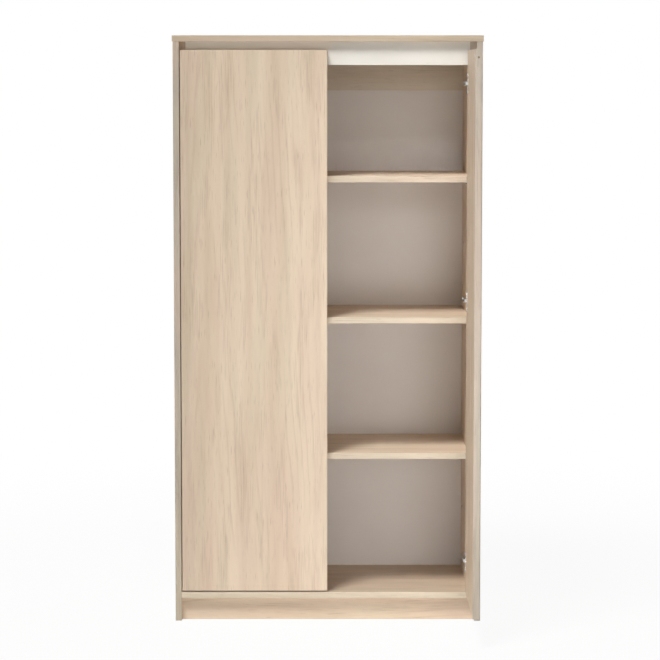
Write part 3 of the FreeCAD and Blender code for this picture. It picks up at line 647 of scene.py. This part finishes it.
nickel, zinc, casting = (plated_metal(name) for name in metals)
dress([name for name in nodes if "_hinge_" in name] + ["shelf_pins"], nickel)
dress(["cam_bolts", "joining_screws", "left_cup_screws", "right_cup_screws", "hinge_plate_screws",
       "hinge_arm_screws", "hinge_link_pins"], zinc)
dress(["cam_discs"], casting)

# %% [markdown]
# Dowels are turned beech: pale reddish brown with short darker rays along the stick.

# %% Beech
fleck_across, fleck_along = 0.8 * mm, 6 * mm
beech_pale, beech_dark = linear("#DDB78F"), linear("#B98A5F")
beech_smooth, beech_rough = 0.5, 0.7


def turned_beech(name):
    """Beech turned into sticks: fine flecks stretched along the length."""
    material, tree, shader = new_material(name)
    place = add(tree, "ShaderNodeTexCoord").outputs["Object"]
    stretch = add(tree, "ShaderNodeMapping", {"Vector": place, "Scale": (
        1 / fleck_across, 1 / fleck_across, 1 / fleck_along)})
    fleck = add(tree, "ShaderNodeTexNoise", {"Vector": stretch.outputs[0], "Scale": 1.0,
                                             "Detail": 3.0}).outputs[0]
    tint = add(tree, "ShaderNodeMix", {"Factor": fleck, COLOUR_1: beech_pale, COLOUR_2: beech_dark},
               data_type="RGBA")
    rough = add(tree, "ShaderNodeMapRange", {"Value": fleck, "To Min": beech_smooth,
                                             "To Max": beech_rough})
    surface(tree, shader, tint.outputs[COLOUR_OUT], rough.outputs[0])
    return material


dress(["dowels"], turned_beech("beech_turned"))

# %% [markdown]
# The soft clear dome that cushions each door is worked out here as a turned shape: a profile of radius
# and height, carried round an axis. A plain cylinder would do for motion, but the real buffer is a drop
# that was poured and set, so its crown is round and its skin smooth.

# %% Turned shapes
round_sides = 48
dome_steps = 10
dome_rim_share = 0.25


def turned_shape(name, centre, axis, profile):
    """Carries a profile round an axis. Point (i, j) is the centre, plus height i along the axis, plus
    radius i times the direction at angle j. Both ends of the profile lie on the axis, so it is closed."""
    axis = np.array(axis, float)
    first = np.cross(axis, (0, 0, 1.0))
    second = np.cross(axis, first)
    angles = np.linspace(0, 2 * np.pi, round_sides, endpoint=False)
    ring = np.cos(angles)[:, None] * first + np.sin(angles)[:, None] * second
    radius, height = np.array(profile[1:-1]).T
    grid = centre + height[:, None, None] * axis + radius[:, None, None] * ring[None]
    ends = [centre + profile[k][1] * axis for k in (0, -1)]
    points = np.concatenate([grid.reshape(-1, 3), ends])
    rows = len(radius)
    i, j = np.meshgrid(np.arange(rows - 1), np.arange(round_sides), indexing="ij")
    k = (j + 1) % round_sides
    lower, upper = i * round_sides, (i + 1) * round_sides
    quads = np.stack([lower + j, lower + k, upper + k, upper + j], -1).reshape(-1, 4)
    j = np.arange(round_sides)
    k = (j + 1) % round_sides
    last = (rows - 1) * round_sides
    start = np.stack([np.full(round_sides, rows * round_sides), k, j], -1)
    end = np.stack([np.full(round_sides, rows * round_sides + 1), last + j, last + k], -1)
    mesh = bpy.data.meshes.new(name)
    mesh.from_pydata(points.tolist(), [], quads.tolist() + start.tolist() + end.tolist())
    mesh.polygons.foreach_set("use_smooth", [True] * len(mesh.polygons))
    mesh.update()
    piece = bpy.data.objects.new(name, mesh)
    bpy.context.scene.collection.objects.link(piece)
    return piece


def closed_volume(mesh):
    """The volume of a closed mesh: six times it is the sum of a . (b x c) over its triangles. A minus
    sign would tell that its faces point inwards."""
    mesh.calc_loop_triangles()
    points = np.array([v.co for v in mesh.vertices])
    a, b, c = points[[list(t.vertices) for t in mesh.loop_triangles]].transpose(1, 0, 2)
    return np.einsum("ij,ij->", a, np.cross(b, c)) / 6


def dome_profile(radius, height):
    """A flat base, a short upright rim, then a quarter ellipse from the rim to the crown."""
    angles = np.linspace(0, np.pi / 2, dome_steps)[:-1]
    rise = dome_rim_share + (1 - dome_rim_share) * np.sin(angles)
    curve = list(zip(radius * np.cos(angles), height * rise))
    return [(0, 0), (radius, 0)] + curve + [(0, height)]


# %% [markdown]
# The buffers are milky clear polyurethane, which lets some light through, and the plug in the right
# door's free edge is moulded brown plastic with the fine grain of its spark-eroded mould. Both are a
# fine noise in colour and gloss, and only the plug has a relief that can be felt.

# %% Buffers and plug
# Each plastic: grain size, its two colours, smoothest and roughest gloss, relief
plastics = {
    "polyurethane_moulded_clear": (0.6 * mm, "#EDEDE8", "#DEDDD6", 0.25, 0.4, None),
    "brown_plastic_moulded": (0.35 * mm, "#8C765A", "#75614A", 0.38, 0.55, 0.3),
}
plastic_relief_depth = 0.03 * mm
clear_share = 0.35
polyurethane_ior = 1.49


def moulded_plastic(name):
    """Moulded plastic: a fine grain in colour and gloss, felt as relief where the mould was eroded."""
    grain_size, pale, dark, smooth, rough, relief = plastics[name]
    material, tree, shader = new_material(name)
    place = add(tree, "ShaderNodeTexCoord").outputs["Object"]
    grain = add(tree, "ShaderNodeTexNoise", {"Vector": place, "Scale": 1 / grain_size}).outputs[0]
    tint = add(tree, "ShaderNodeMix", {"Factor": grain, COLOUR_1: linear(pale), COLOUR_2: linear(dark)},
               data_type="RGBA")
    gloss = add(tree, "ShaderNodeMapRange", {"Value": grain, "To Min": smooth, "To Max": rough})
    surface(tree, shader, tint.outputs[COLOUR_OUT], gloss.outputs[0], grain if relief else None,
            relief or 0.0, plastic_relief_depth)
    return material, shader


clear_plastic, shader = moulded_plastic("polyurethane_moulded_clear")
shader.inputs["Transmission Weight"].default_value = clear_share
shader.inputs["IOR"].default_value = polyurethane_ior
for node, axis in (("left_door_buffer", (0, 1, 0)), ("right_door_buffer", (-1, 0, 0))):
    low, high = (np.array(corner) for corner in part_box(node))
    size = high - low
    thickness = size.min()
    base = (low + high) / 2 - np.array(axis) * thickness / 2
    dome = turned_shape(node + "_dome", base, axis, dome_profile(size.max() / 2, thickness))
    dome.data.materials.append(clear_plastic)
    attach(dome, node.replace("_buffer", ""))
    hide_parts(node)
    finished.add(node)
    print(dome.name, len(dome.data.polygons), "faces, mm3", round(closed_volume(dome.data) / mm ** 3, 1))

dress(["right_door_edge_plug"], moulded_plastic("brown_plastic_moulded")[0])
print("CAD nodes without a finish:", sorted(set(nodes) - finished))
